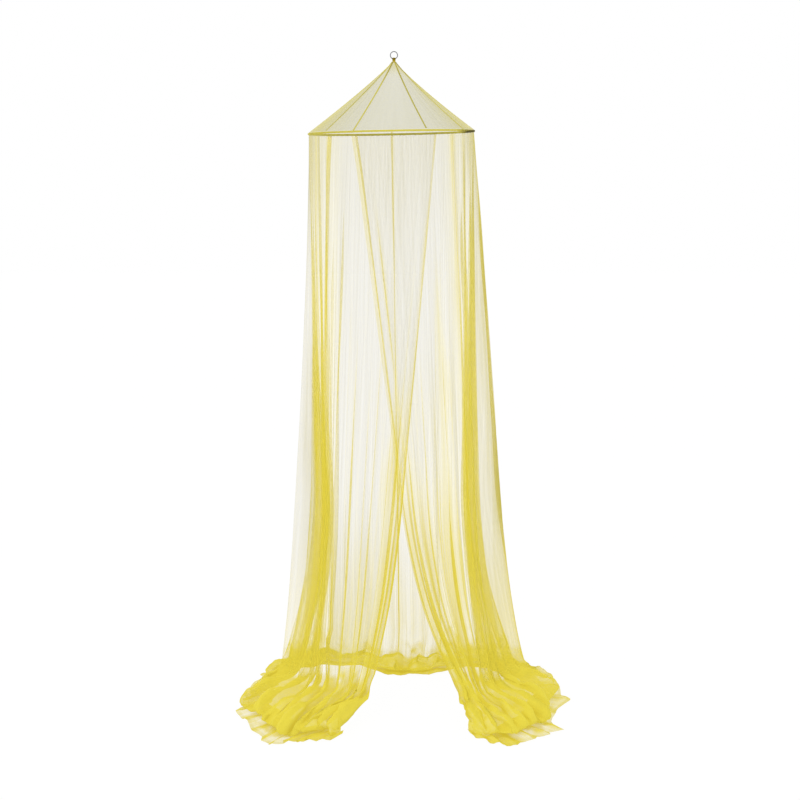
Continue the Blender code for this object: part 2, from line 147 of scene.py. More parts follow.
SLACK, WANDER = 1.6, 0.06                       # of the wall's foot, and of the heaps' steps
# How uneven the ridges and the heights are, and how low a valley lies, of its step's height.
RIDGE_UNEVEN, HEIGHT_UNEVEN, VALLEY = 0.5, 0.14, 0.4


# Shader maths as expressions

class Graph:
    """A material's nodes. node() adds one; maths on the sockets it returns adds Math nodes."""

    def __init__(self, name):
        self.material = bpy.data.materials.new(name)
        self.material.use_nodes = True
        self.tree = self.material.node_tree
        self.shader = self.tree.nodes["Principled BSDF"]

    def node(self, kind, settings=None, sockets=None):
        made = self.tree.nodes.new("ShaderNode" + kind)
        for name, value in (settings or {}).items():
            setattr(made, name, value)
        for name, value in (sockets or {}).items():
            self.feed(made.inputs[name], value)
        return made

    def out(self, kind, output, settings=None, sockets=None):
        return Value(self, self.node(kind, settings, sockets).outputs[output])

    def feed(self, socket, value):
        if isinstance(value, Value):
            self.tree.links.new(value.socket, socket)
        else:
            socket.default_value = value

    def maths(self, operation, *values):
        return self.out("Math", 0, {"operation": operation}, dict(enumerate(values)))

    def colours(self, share, first, second):
        """The first colour where share is 0 and the second where it is 1."""
        made = self.node("Mix", {"data_type": "RGBA"}, {0: share})
        colour_in = [socket for socket in made.inputs if socket.type == "RGBA"]
        for socket, colour in zip(colour_in, (first, second)):
            self.feed(socket, colour if isinstance(colour, Value) else (*colour, 1.0))
        return Value(self, next(socket for socket in made.outputs if socket.type == "RGBA"))

    def finish(self, **sockets):
        """Feeds the shader's own sockets and gives the material."""
        for name, value in sockets.items():
            self.feed(self.shader.inputs[name.replace("_", " ")], value)
        return self.material


class Value:
    """A socket that takes part in arithmetic."""

    def __init__(self, graph, socket):
        self.graph, self.socket = graph, socket

    def __add__(self, other):
        return self.graph.maths("ADD", self, other)

    def __radd__(self, other):
        return self.graph.maths("ADD", other, self)

    def __sub__(self, other):
        return self.graph.maths("SUBTRACT", self, other)

    def __rsub__(self, other):
        return self.graph.maths("SUBTRACT", other, self)

    def __mul__(self, other):
        return self.graph.maths("MULTIPLY", self, other)

    def __rmul__(self, other):
        return self.graph.maths("MULTIPLY", other, self)

    def __truediv__(self, other):
        return self.graph.maths("DIVIDE", self, other)

    def __rtruediv__(self, other):
        return self.graph.maths("DIVIDE", other, self)

    def __pow__(self, other):
        return self.graph.maths("POWER", self, other)

    def clamped(self, low=0.0, high=1.0):
        return self.graph.maths("MINIMUM", self.graph.maths("MAXIMUM", self, low), high)


# Finishes

MESH_PITCH, MESH_SHARPNESS = 0.0019, 4          # of the net's diamond mesh
MESH_LEAST, MESH_DEPTH = 0.55, 0.85             # share of cover that its holes keep, and its threads add
MESH_BLUR = 0.8                                 # how far dense net evens its mesh out
SHADED_THIN_THREAD = (0.46, 0.40, 0.11)                # a single layer's thread, painted darker and greyer: painted shade on its fine threads against the light
SCATTER_LIT_THREAD = (0.775, 0.66, 0.065)             # the same thread where it lies in many layers, painted brighter and yellower: painted light scattered between the layers
# The cone's net the same way: its thin colour with painted shade, its gathered one with painted scattered
# light
SHADED_CONE_THREAD = (0.30, 0.275, 0.07)
SCATTER_LIT_CONE = (0.62, 0.55, 0.09)
STREAKS, STREAK_STRETCH = 110.0, 1.2            # fine gathers to a metre across the cloth and along it
WALL_STREAKS, CONE_STREAKS = 1.2, 0.05          # how strong they are
SMOOTH_COVER = 1.15                             # how soon dense net hides them
MOST_COVER = 0.97
MOTTLE, MOTTLE_SCALE = 0.25, 38.0               # how uneven its colour is, and over what
EDGE_ON = 0.24                                  # least slant that a layer is seen at
PAINTED_THROUGH_GLOW = 0.45                              # share of its colour given as a painted glow, for the light that comes through the net


def axes(graph, kind, output):
    """The three numbers of a place."""
    made = graph.node("SeparateXYZ")
    graph.feed(made.inputs[0], graph.out(kind, output))
    return [Value(graph, socket) for socket in made.outputs]


def net_finish(name, thin, dense, streaks):
    """Sheer net. Each vertex holds cover, the share of it that thread fills, and tone, from a thin
    layer's colour to a gathered one's: painted light and shade, the thin colour darker and greyer with
    painted shade on its threads, the gathered one brighter and yellower with painted light scattered
    between layers. The net glows with its own colour, a painted glow for the light that comes through
    it. A layer seen at a slant has more thread in the way. streaks: how strong its fine gathers are."""
    graph = Graph(name)
    across, along, _ = axes(graph, "UVMap", "UV")
    turn = math.pi / MESH_PITCH
    one = graph.maths("ABSOLUTE", graph.maths("SINE", (across + along) * turn))
    other = graph.maths("ABSOLUTE", graph.maths("SINE", (across - along) * turn))
    threads = graph.maths("MAXIMUM", one, other) ** MESH_SHARPNESS * MESH_DEPTH + MESH_LEAST
    cover = graph.out("Attribute", "Fac", {"attribute_name": "cover"})
    tone = graph.out("Attribute", "Fac", {"attribute_name": "tone"})
    slant = graph.maths("MAXIMUM", 1 - graph.out("LayerWeight", "Facing"), EDGE_ON)
    threads = threads + (1 - threads) * tone * MESH_BLUR
    place = graph.out("CombineXYZ", "Vector", None, {0: across * STREAKS, 1: along * STREAK_STRETCH})
    streak = graph.out("TexNoise", "Fac", None, {"Vector": place, "Scale": 1.0, "Detail": 3.0})
    sheer = (1 - cover * SMOOTH_COVER).clamped()
    threads = threads * (1 + (2 * streak - 1) * sheer * streaks)
    seen = 1 - (1 - (cover * threads).clamped(0.0, MOST_COVER)) ** (1 / slant)
    mottle = graph.out("TexNoise", "Fac", None, {
        "Vector": graph.out("TexCoord", "Object"), "Scale": MOTTLE_SCALE, "Detail": 3.0})
    shade = (tone + (mottle - 0.5) * MOTTLE * tone).clamped()
    # The net glows with its own colour, a painted glow for the light that comes through it; the rest is its
    # base colour
    own = [[level * (1 - PAINTED_THROUGH_GLOW) for level in colour] for colour in (thin, dense)]
    return graph.finish(Base_Color=graph.colours(shade, *own), Alpha=seen, Roughness=0.8,
                        Specular_IOR_Level=0.1, Emission_Color=graph.colours(shade, thin, dense),
                        Emission_Strength=PAINTED_THROUGH_GLOW)


TAPE_RIB, SLEEVE_RIB = 0.0006, 0.0009
RIB_SHADE, WEAR_SHADE, WEAR_SCALE = 0.18, 0.5, 140.0


def tape_finish(name, light, dark, painted_glow, ribs, dark_share):
    """Close-woven tape with fine ribs along its UV map. painted_glow: share of its colour given as a painted
    glow, for the light that comes through it. dark_share: how much of the dark colour it has, from its place."""
    graph = Graph(name)
    across, along, _ = axes(graph, "UVMap", "UV")
    rib = graph.maths("SINE", along * (2 * math.pi / ribs)) * 0.5 + 0.5
    weft = graph.maths("SINE", across * (2 * math.pi / ribs)) * 0.5 + 0.5
    wear = graph.out("TexNoise", "Fac", None, {
        "Vector": graph.out("TexCoord", "Object"), "Scale": WEAR_SCALE, "Detail": 4.0})
    shade = dark_share(*axes(graph, "TexCoord", "Object"))
    shade = (shade + (1 - rib * weft) * RIB_SHADE + (wear - 0.5) * WEAR_SHADE).clamped()
    bump = graph.out("Bump", "Normal", None, {
        "Strength": 0.5, "Distance": 0.0002, "Height": rib * weft})
    # The tape glows with its own colour, a painted glow for the light that comes through it
    own = [[level * (1 - painted_glow) for level in colour] for colour in (light, dark)]
    return graph.finish(Base_Color=graph.colours(shade, *own), Normal=bump, Roughness=0.75,
                        Specular_IOR_Level=0.2, Emission_Color=graph.colours(shade, light, dark),
                        Emission_Strength=painted_glow)


def seam_dark(x, y, z):
    """The seams are darker towards the crown."""
    return ((z + 0.12) / 0.09).clamped()


def crown_painted_shade(x, y, z):
    """The crown's tape is dark at the ring and at its foot, and light between them: painted shade where it
    folds over the wire and at its foot.
    """
    return ((z + 0.036) ** 2 * 9000).clamped()


def casing_painted_shading(x, y, z):
    """Painted light and shade: the casing is darker in front and lighter behind, where light comes through
    it, and darkest at its right end, a painted shadow of its own.
    """
    return 0.16 - y * 1.1 + ((x - 0.235) / 0.027).clamped() * 0.6


def steel_finish():
    graph = Graph("bright steel")
    grain = graph.out("TexNoise", "Fac", None, {
        "Vector": graph.out("TexCoord", "Object"), "Scale": 900.0, "Detail": 3.0})
    haze = graph.out("TexNoise", "Fac", None, {
        "Vector": graph.out("TexCoord", "Object"), "Scale": 120.0, "Detail": 2.0})
    colour = graph.colours(haze, (0.08, 0.08, 0.085), (0.24, 0.24, 0.245))
    bump = graph.out("Bump", "Normal", None, {"Strength": 0.15, "Distance": 0.0001, "Height": grain})
    return graph.finish(Base_Color=colour, Roughness=grain * 0.18 + 0.2, Metallic=1.0, Normal=bump)


# Sheets and wires

def sheet_object(name, grid, finish, cover=None, tone=None, size=None, turned=False):
    """An open sheet on a grid of points, with a UV map in metres of cloth and its vertex values."""
    rows, columns = grid.shape[:2]
    index = np.arange(rows * columns).reshape(rows, columns)
    corners = [index[:-1, :-1], index[:-1, 1:], index[1:, 1:], index[1:, :-1]]
    faces = np.stack(corners[::-1] if turned else corners, axis=-1).reshape(-1, 4)
    mesh = bpy.data.meshes.new(name)
    mesh.vertices.add(rows * columns)
    mesh.vertices.foreach_set("co", grid.astype(np.float32).ravel())
    mesh.loops.add(faces.size)
    mesh.loops.foreach_set("vertex_index", faces.ravel().astype(np.int32))
    mesh.polygons.add(len(faces))
    mesh.polygons.foreach_set("loop_start", np.arange(0, faces.size, 4, dtype=np.int32))
    mesh.update(calc_edges=True)
    mesh.validate()
    across, along = size if size is not None else cloth_sizes(grid)
    uv = np.stack(np.broadcast_arrays(across[None, :], along[:, None]), axis=-1).reshape(-1, 2)
    layer = mesh.uv_layers.new(name="UVMap")
    layer.data.foreach_set("uv", uv[faces.ravel()].astype(np.float32).ravel())
    for attribute, values in (("cover", cover), ("tone", tone)):
        if values is not None:
            made = mesh.attributes.new(attribute, "FLOAT", "POINT")
            values = np.broadcast_to(values, (rows, columns)).astype(np.float32)
            made.data.foreach_set("value", values.ravel())
    mesh.shade_smooth()
    mesh.materials.append(finish)
    made = bpy.data.objects.new(name, mesh)
    bpy.context.collection.objects.link(made)
    return made


def cloth_sizes(grid):
    """How far along the cloth each column and each row of a grid lies, on average."""
    across = np.linalg.norm(np.diff(grid, axis=1), axis=2).mean(axis=0)
    along = np.linalg.norm(np.diff(grid, axis=0), axis=2).mean(axis=1)
    return np.concatenate([[0], np.cumsum(across)]), np.concatenate([[0], np.cumsum(along)])


def normals(grid):
    """Unit normals of a grid of points."""
    normal = np.cross(np.gradient(grid, axis=0), np.gradient(grid, axis=1))
    return normal / np.maximum(np.linalg.norm(normal, axis=2, keepdims=True), 1e-9)


def curve_at(points, where):
    """A smooth curve through points along the first axis, read at these places: 0 is the first."""
    padded = np.concatenate([2 * points[:1] - points[1:2], points, 2 * points[-1:] - points[-2:-1]])
    first = np.minimum(where.astype(int), len(points) - 2)
    t = (where - first).reshape(-1, *[1] * (points.ndim - 1))
    a, b, c, d = (padded[first + i] for i in range(4))
    return 0.5 * (2 * b + (c - a) * t + (2 * a - 5 * b + 4 * c - d) * t ** 2
                  + (3 * b - a - 3 * c + d) * t ** 3)


def smooth_step(value):
    value = np.clip(value, 0, 1)
    return value * value * (3 - 2 * value)


def fade(value, start, width):
    """0 up to start, and 1 from width beyond it."""
    return smooth_step((value - start) / width)


def waves(seed, lengths, *places, count=16):
    """An uneven field, mostly from -1 to 1, whose waves are about this long along each place."""
    rng = np.random.default_rng(seed)
    total = 0.0
    for _ in range(count):
        ways = rng.normal(size=len(places)) * rng.uniform(0.6, 1.5)
        phase = rng.uniform(0, 2 * math.pi)
        turns = sum(way * place / length for way, place, length in zip(ways, places, lengths))
        total = total + np.sin(2 * math.pi * turns + phase)
    return total * math.sqrt(1 / count)


def select(mesh_object, chosen):
    """In edit mode, selects only the vertices whose place is chosen."""
    bpy.ops.mesh.select_all(action="DESELECT")
    bpy.ops.object.mode_set(mode="OBJECT")
    for vertex in mesh_object.data.vertices:
        vertex.select = chosen(mesh_object.matrix_world @ vertex.co)
    bpy.ops.object.mode_set(mode="EDIT")


def wire_ring(name, finish, place, turned, radius, wire, steps, weld_at, weld, swell):
    """A ring of round wire with a slightly swollen butt weld where its two ends meet. steps: round
    the ring and round its wire. weld: how far the swelling reaches. swell: how much it adds."""
    bpy.ops.object.select_all(action="DESELECT")
    bpy.ops.mesh.primitive_torus_add(
        location=place, rotation=turned, major_radius=radius, minor_radius=wire,
        major_segments=steps[0], minor_segments=steps[1])
    ring = bpy.context.object
    ring.name = ring.data.name = name
    bpy.ops.object.mode_set(mode="EDIT")
    bpy.ops.mesh.select_mode(type="VERT")
    select(ring, lambda point: (point - weld_at).length < weld)
    bpy.ops.transform.shrink_fatten(value=swell)
    bpy.ops.mesh.select_all(action="SELECT")
    bpy.ops.mesh.normals_make_consistent(inside=False)
    bpy.ops.object.mode_set(mode="OBJECT")
    bpy.ops.object.transform_apply(location=True, rotation=True, scale=True)
    bpy.ops.object.shade_smooth()
    ring.data.materials.append(finish)
    return ring


def settle(piece, node):
    """Puts a finished piece in the frame in its node's place."""
    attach(piece, "root")
    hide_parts(node)


# The hanging ring and the crown

def hanging_ring(steel):
    middle = Vector((0, 0, RING_WIRE_R - RING_R))
    ring = wire_ring("steel_ring", steel, middle, (math.pi / 2, 0, 0), RING_R, RING_WIRE_R, (72, 18),
                     weld_at=middle + Vector((RING_R, 0, 0)), weld=0.0022, swell=0.00012)
    settle(ring, "hanging_ring")


LEG_OFF = 0.62                                  # of its thickness, from the middle to each leg
CURL, CURL_ACROSS, CURL_ALONG = 0.12, 9, 400    # how its cloth waves across and along it


def crown_tape(tape):
    """A tape over the ring's wire, with its two legs sewn together below."""
    wire_z = RING_WIRE_R - 2 * RING_R
    inner = RING_WIRE_R + LOOP_PLAY + LOOP_T / 2
    join = wire_z - LOOP_JOIN
    turns = np.radians(np.linspace(0, 180, 19))
    leg = [(LOOP_T * LEG_OFF, z) for z in np.linspace(LOOP_FOOT + 0.0003, join, 14)]
    path = leg + [(inner * math.cos(a), wire_z + inner * math.sin(a)) for a in turns]
    path += [(-y, z) for y, z in reversed(leg)]
    path = curve_at(np.array(path), np.linspace(0, len(path) - 1, 3 * len(path)))
    share = np.clip((path[:, 1] - LOOP_FOOT) / (wire_z - LOOP_FOOT), 0, 1)
    half = (LOOP_WAIST_W + (LOOP_W - LOOP_WAIST_W) * np.sqrt(share)) / 2
    across = np.linspace(-1, 1, 9)
    grid = np.empty((len(path), len(across), 3))
    grid[..., 0] = half[:, None] * across
    curl = CURL * np.sin(CURL_ACROSS * across + CURL_ALONG * path[:, 1:])
    grid[..., 1] = path[:, :1] * (1 + curl * share[:, None])
    grid[..., 2] = path[:, 1:] + 0.0002 * np.cos(3 * across)
    piece = sheet_object("crown_tape", grid, tape)
    thicken(piece, LOOP_T)
    settle(piece, "crown_loop")


def thicken(piece, thickness):
    """Gives a sheet its thickness, half on each side, shaded smooth up to 50 degrees."""
    bpy.ops.object.select_all(action="DESELECT")
    piece.select_set(True)
    bpy.context.view_layer.objects.active = piece
    solid = piece.modifiers.new("thickness", "SOLIDIFY")
    solid.thickness = thickness
    solid.offset = 0
    bpy.ops.object.modifier_apply(modifier=solid.name)
    bpy.ops.object.shade_smooth_by_angle(angle=math.radians(50))


# The cone

def cone_fall(share):
    """Share 0 at the top of the gores to 1 at the casing, as a share of the whole cone's height."""
    least = (CONE_TOP_R / HOOP_R) ** (1 / CONE_POWER)
    return least + (1 - least) * share


def tilted(x, level):
    """How much higher the tilted hoop is at x. level fades it to nothing."""
    return math.tan(HOOP_TILT) * (x - HOOP_X) * level


def cone_point(share, angle, off=0.0, aside=0.0):
    """A point of the cone, off its face and aside along it."""
    fall = cone_fall(share)
    slope = np.arctan2(CONE_H, HOOP_R * CONE_POWER * fall ** (CONE_POWER - 1))
    radius = HOOP_R * fall ** CONE_POWER + off * np.sin(slope)
    middle_x = APEX_X + (HOOP_X - APEX_X) * share
    x = middle_x + radius * np.sin(angle) + aside * np.cos(angle)
    y = -radius * np.cos(angle) + aside * np.sin(angle)
    z = HOOP_Z + CONE_FOOT + CONE_H * (1 - fall) + off * np.cos(slope) + tilted(x, share)
    return np.stack(np.broadcast_arrays(x, y, z), axis=-1)


CONE_COVER = 0.155
GORE_SHAPE = (64, 56)                           # rows and columns of a gore
STRAIN, SAG = 0.0007, 0.0012                    # its fine strains from the crown, and its sag between seams
GATHER, GATHER_COVER, UNEVEN_COVER = 0.28, 1.1, 0.05    # its top's gathers: how far down, and their cover
# Tones, from the thin layer's painted shade to the gathered net's painted scattered light; SIDE_TONE paints
# the gathered colour on the gores' sides towards -X and +X, where they are seen edge-on from the front
GORE_TONE, GATHER_TONE, SIDE_TONE = 0.25, 0.5, 0.9
TAPE_FLARE = 0.2                                # how far down a seam's tape takes to widen
PUCKER, BULGE = 0.00025, 0.00022                # its stitches' puckers and its rounded middle


def cone(net, tape):
    """Four gores, stretched between their taped seams, with fine strains from the crown."""
    seams = np.radians(SEAM_DEGREES)
    rows, columns = GORE_SHAPE
    share = np.linspace(0, 1, rows)[:, None]
    for number, (left, right) in enumerate(zip(seams, [*seams[1:], seams[0] + 2 * math.pi])):
        part = np.linspace(0, 1, columns)[None, :]
        angle = left + (right - left) * part
        away = np.sin(math.pi * part) ** 0.5
        strain = waves(40 + number, (0.05, 3.0), angle, share) * STRAIN * (1 - share) * share * 4
        sag = -SAG * np.sin(math.pi * share) * away
        grid = cone_point(share, angle, (strain + sag) * away)
        gathered = smooth_step(1 - share / GATHER)
        unevenness = UNEVEN_COVER * waves(50 + number, (0.04, 2.0), angle, share)
        cover = CONE_COVER * (1 + GATHER_COVER * gathered ** 2 + unevenness)
        tone = np.clip(GORE_TONE + GATHER_TONE * gathered + SIDE_TONE * np.sin(angle) ** 6, 0, 1)
        gore = sheet_object(f"net_gore_{number + 1}", grid, net, cover, tone, turned=True)
        width = HOOP_R * (right - left)
        slant = math.hypot(HOOP_R, CONE_H)
        width * slant / 2
        settle(gore, f"cone_gore_{number + 1}")
    share = np.linspace(0, 1, 60)[:, None] ** 1.2 * 0.995
    across = np.linspace(-1, 1, 7)[None, :]
    half = (TAPE_TOP_W + (TAPE_W - TAPE_TOP_W) * np.minimum(1, share / TAPE_FLARE)) / 2
    for number, angle in enumerate(seams):
        pucker = PUCKER * waves(60 + number, (0.012, 2.0), share, across)
        bulge = BULGE * (1 - across ** 2)
        grid = cone_point(share, angle, TAPE_LIFT + pucker + bulge, across * half)
        piece = sheet_object(f"seam_binding_{number + 1}", grid, tape, turned=True)
        thicken(piece, TAPE_T)
        settle(piece, f"seam_tape_{number + 1}")


# The hoop and its casing

def hoop(steel):
    place = (HOOP_X, 0, HOOP_Z)
    weld_at = Vector((HOOP_X + HOOP_R, 0, HOOP_Z + tilted(HOOP_X + HOOP_R, 1)))
    wire = wire_ring("hoop_wire", steel, place, (0, -HOOP_TILT, 0), HOOP_R, HOOP_WIRE_R, (288, 14),
                     weld_at, weld=0.006, swell=0.0002)
    settle(wire, "hoop")


SLEEVE_SHAPE = (15, 640)                        # rows and columns of the sleeve
SLEEVE_SLACK, SLEEVE_PUCKER = 0.97, 0.00035
SLEEVE_SEAM = 0.05                              # radians at the sleeve's two ends that lie flat


def casing(tape):
    """The net's turned-over top, a sleeve round the hoop, puckered by its stitches."""
    rows, columns = SLEEVE_SHAPE
    turn = np.linspace(0, 2 * math.pi, columns)[None, :]
    slot = np.linspace(-math.pi / 2 + CASING_SLOT, 3 * math.pi / 2 - CASING_SLOT, rows)[:, None]
    low = smooth_step(-np.sin(slot))
    pucker = SLEEVE_PUCKER * waves(71, (0.035, 3.0), turn, slot) * (0.3 + low)
    pucker = pucker * np.minimum(1, np.minimum(turn, 2 * math.pi - turn) / SLEEVE_SEAM)
    radius = CASING_R * SLEEVE_SLACK + pucker
    out = HOOP_R + radius * np.cos(slot)
    x = HOOP_X + out * np.sin(turn)
    z = HOOP_Z + radius * np.sin(slot) + tilted(x, 1)
    grid = np.stack(np.broadcast_arrays(x, -out * np.cos(turn), z), axis=-1)
    piece = sheet_object("casing_sleeve", grid, tape)
    settle(piece, "hoop_casing")


# The skirt

def between(values):
    """Each value with the mean of it and the next one after it."""
    out = np.empty((2 * len(values) - 1, *values.shape[1:]))
    out[0::2] = values
    out[1::2] = (values[:-1] + values[1:]) / 2
    return out


def tucks(crests, depth):
    """How far each point of between(crests) is drawn towards the middle: only the valleys, by depth."""
    middle = (crests[:-1] + crests[1:]) / 2 - (HOOP_X, 0)
    out = np.zeros((2 * len(crests) - 1, 2))
    out[1::2] = -middle / np.linalg.norm(middle, axis=1, keepdims=True) * depth[:, None]
    return out


def polar(plan):
    """Angles from the front and distances from the hoop's middle, of points in plan."""
    x, y = plan[:, 0] - HOOP_X, plan[:, 1]
    return np.unwrap(np.arctan2(x, -y), discont=math.pi), np.hypot(x, y)


def from_polar(angle, radius):
    return np.stack([HOOP_X + radius * np.sin(angle), -radius * np.cos(angle)], axis=1)


def along_hoop(degrees):
    """Degrees round the hoop from the left leaf's edge, of a place in degrees from the front."""
    return FOLDS[0].hoop - degrees


def uneven(index, turn):
    """A number from -1 to 1 that wanders slowly from fold to fold."""
    return 0.6 * np.sin(0.71 * index + 2.4 * turn) + 0.4 * np.sin(1.63 * index + 4.1 * turn)


def big_folds():
    """Levels of the skirt from the hoop to the hem, with a point for each fold's crest and valley."""
    table = {name: np.array([getattr(fold, name) for fold in FOLDS], float) for name in Fold._fields}
    degrees, bow = between(table["hoop"]), between(table["bow"])
    ply = PLY * (fade(-degrees, RIGHT_PLY, PLY_FADE) - fade(degrees, LEFT_PLY, PLY_FADE))
    angle = np.radians(degrees)
    crests = {at: np.stack([table[at + "_x"], table[at + "_y"]], axis=1) for at in ("mid", "low", "toe")}
    mid_angle, mid_radius = polar(between(crests["mid"]) + tucks(crests["mid"], table["tuck_mid"][:-1]))
    tuck = tucks(crests["low"], table["tuck_low"][:-1])
    foot, toe = between(crests["low"]), between(crests["toe"])
    low = foot + tuck
    to_mid, to_low = FULL - MID, MID - LOW

    def upper(share):
        """The wall in plan from the hoop, at 0, to the middle level, at 1."""
        turn = share ** bow
        return from_polar(angle + (mid_angle - angle) * turn,
                          HOOP_R + ply + (mid_radius - HOOP_R - ply) * turn)

    mid, little = upper(1.0), 0.05
    mid_slope = (mid - upper(1 - little)) / little * to_low / to_mid
    levels = []
    for drop in DROPS:
        if drop <= to_mid:
            plan = upper(drop / to_mid)
        else:
            share = (drop - to_mid) / to_low
            plan = (mid * (2 * share ** 3 - 3 * share ** 2 + 1)
                    + mid_slope * (share ** 3 - 2 * share ** 2 + share)
                    + low * (3 * share ** 2 - 2 * share ** 3)
                    + (low - mid) * SLACK * (share ** 3 - share ** 2))
        left = 1 - drop / FULL
        height = FULL - drop - SKIRT_TOP * left ** 8 + tilted(plan[:, 0], left)
        levels.append(np.column_stack([plan, height]))
    way = toe - foot
    index = np.arange(len(toe))
    valley = index % 2
    pull = valley * np.minimum(PULL_MOST, HEM_PULL / np.linalg.norm(way, axis=1))
    by_edge = 1 - fade(np.minimum(index, index[-1] - index), *EDGE_FOLDS)
    flat = 1 - BACK_LOW * (1 - fade(np.abs(along_hoop(degrees) - BACK), BACK_HALF, BACK_FADE))
    for number, step in enumerate(HEAP):
        rise = math.sin(math.pi * number / (len(HEAP) - 1))
        reach = np.full(len(toe), step.reach)
        if number in range(*RETURN.indices(len(HEAP))):
            reach = reach + (EDGE_RETURN - reach) * by_edge
        lean = 1 - smooth_step(reach / 0.5)
        out = reach * (1 - pull * step.reach) + WANDER * rise * uneven(index, 1)
        if step.room and number > RETURN.stop - 1:
            out = out + RAGGED * step.reach * np.sin(1.9 * index + 2 * np.sin(0.8 * index))
        crest = step.ridge * (1 - 2 * valley) * (1 + RIDGE_UNEVEN * uneven(index, 3))
        height = step.height * (1 + HEIGHT_UNEVEN * rise * uneven(index, 2))
        height = height + np.maximum(crest, -VALLEY * step.height)
        if number:
            height = height * flat
        levels.append(np.column_stack([foot + way * out[:, None] + tuck * lean[:, None], height]))
    return np.array(levels), along_hoop(degrees)


# Flat pleats that stand out, each lying over itself. hoop: where its middle leaves the hoop, in
# degrees from the front. start: how far below the hoop it begins. half: half its width, in degrees
# along the hoop. deep: how far apart its layers lie. dense: how much its threads crowd together.
Line = namedtuple("Line", "hoop start half deep dense")
LINES = [Line(*row) for row in (
    (31.2, 0, 0.7, 0.003, 0.9), (27.4, 0.7, 1.1, 0.003, 0.5), (24.4, 0.3, 1.2, 0.003, 0.5),
    (17, 0.6, 1.8, 0.003, 0.1), (10, 0.75, 1.5, 0.003, 0.1), (3, 0.6, 0.8, 0.003, 0.7),
    (-5, 0.8, 1.4, 0.003, 0.2), (-11, 0.45, 1.2, 0.003, 0), (-17, 0.6, 0.6, 0.003, 0.7),
    (-24, 0.5, 1.1, 0.003, 0), (-31, 0.15, 0.6, 0.003, 0.6), (-36.5, 0.6, 1, 0.003, 0.2),
    (-41, 0.25, 1, 0.0035, 0.5), (-46, 0, 1.1, 0.004, 1), (-52, 0.2, 1.3, 0.0035, 0.4),
    (-59, 0, 1.2, 0.004, 0.8), (-68, 0.12, 1.3, 0.0035, 0.4), (-77, 0.12, 1.2, 0.0035, 0.3),
    (-86, 0.45, 1.2, 0.0035, 0.1), (-97, 0.15, 1.2, 0.0035, 0.3), (-108, 0.15, 1.2, 0.0035, 0.3),
    (-119, 0.2, 1.2, 0.0035, 0.3), (-131, 0.15, 1.1, 0.0035, 0.3), (-146, 0.5, 0.9, 0.003, 0.1),
    (-163, 0.6, 0.9, 0.003, 0), (-180, 0, 0.55, 0.003, 0.6), (-197, 0.7, 0.9, 0.003, 0),
    (-213, 0.55, 0.9, 0.003, 0.1), (-228, 0.4, 1, 0.003, 0.1), (-242, 0.12, 1.2, 0.0035, 0.3),
    (-253, 0.12, 1.3, 0.0035, 0.4), (-264, 0.15, 1.2, 0.0035, 0.3), (-273.6, 0.05, 0.9, 0.0035, 0.5),
    (-284, 0.2, 1.2, 0.0035, 0.3), (-295, 0, 1.2, 0.004, 0.7), (-301, 0, 0.9, 0.004, 0.6),
    (-306.5, 0.1, 1.3, 0.004, 0.8), (-314, 0, 1.2, 0.004, 0.9), (-320, 0.9, 1.2, 0.003, 0),
    (-327.5, 0.65, 0.9, 0.003, 0.5), (-331.5, 0.35, 1.2, 0.003, 0.4), (-338, 0.8, 1.5, 0.003, 0.1),
    (-345, 0.9, 1.2, 0.003, 0.3), (-350.5, 0.7, 0.9, 0.003, 0.5), (-357, 0.8, 1.2, 0.003, 0.2),
    (-364, 0.85, 1.4, 0.003, 0.4), (-370.5, 0.95, 1.3, 0.003, 0.9), (-376, 0.15, 1.3, 0.003, 0.6),
    (-383.5, 0, 0.9, 0.003, 0.9),
)]
LINE_STEPS = 11                                 # columns of the mesh to each of them
PLEAT_STEPS = 7                                 # and to each of the fine pleats between them
PLEAT_GAP = 5.5                                 # between pleats, in degrees, on average
FOLD_BACK = 1.1                                 # how far a pleat's layers cross, of half its width
Pleat = namedtuple("Pleat", "middle half deep start dense over steps")
# The fine ones' least and most: half a width, depth, start, and how far each lies over itself.
FINE_HALF, FINE_DEEP, FINE_START, FINE_OVER = (0.4, 0.9), (0.001, 0.003), (0.1, 0.9), (0.05, 0.42)

# Places where the net is gathered into soft bands. hoop and start: as above. half: in degrees along
# the hoop. high and low: how much more of the net its threads fill above and near the floor.
Crowd = namedtuple("Crowd", "hoop half start high low")
CROWDS = [Crowd(*row) for row in (
    (31.8, 1.7, 0, 0.36, 0.4), (24.5, 7.5, 0.8, 0.38, 0.34), (3, 1.6, 0.6, 0.08, 0.2),
    (-5, 3.5, 1.2, 0.04, 0.18), (-17, 1.3, 0.6, 0.1, 0.2), (-31, 1.5, 0.15, 0.07, 0.1),
    (-47, 2.6, 0, 0.16, 0.1), (-58, 2.2, 0.3, 0.19, 0.1), (-63, 2, 0, 0.12, 0.06),
    (-80.8, 2, 0.6, 0.24, 0.24), (-89.6, 1.8, 0.6, 0.26, 0.24), (-104, 3, 0.6, 0.14, 0.1),
    (-180, 1.2, 0, 0.14, 0.12), (-274, 9, 0, 0.12, 0.2), (-274, 1.4, 0, 0.12, 0.1),
    (-303, 3, 0, 0.08, 0.04), (-315.5, 2.2, 0, 0.2, 0.06), (-332, 3, 0.3, 0.16, 0.2),
    (-332, 7, 1.1, 0.22, 0.26), (-357, 8, 1.1, 0.24, 0.36), (-346, 24, 0.6, 0.06, 0.1),
    (-376, 2, 0.1, 0.12, 0.1), (-376, 8, 0.95, 0.28, 0.4), (-386, 2, 0, 0.3, 0.4),
)]
THIN_COVER, TOP_COVER, LINE_COVER = 0.105, 0.035, 0.14      # a layer's, and what the top and lines gain
LOW_COVER, BACK_LOW_COVER = 0.14, 0.24          # what the front and the back gain near the floor
HEAP_COVER, RIM_COVER, OUTSIDE_COVER = 0.90, 0.37, 0.24
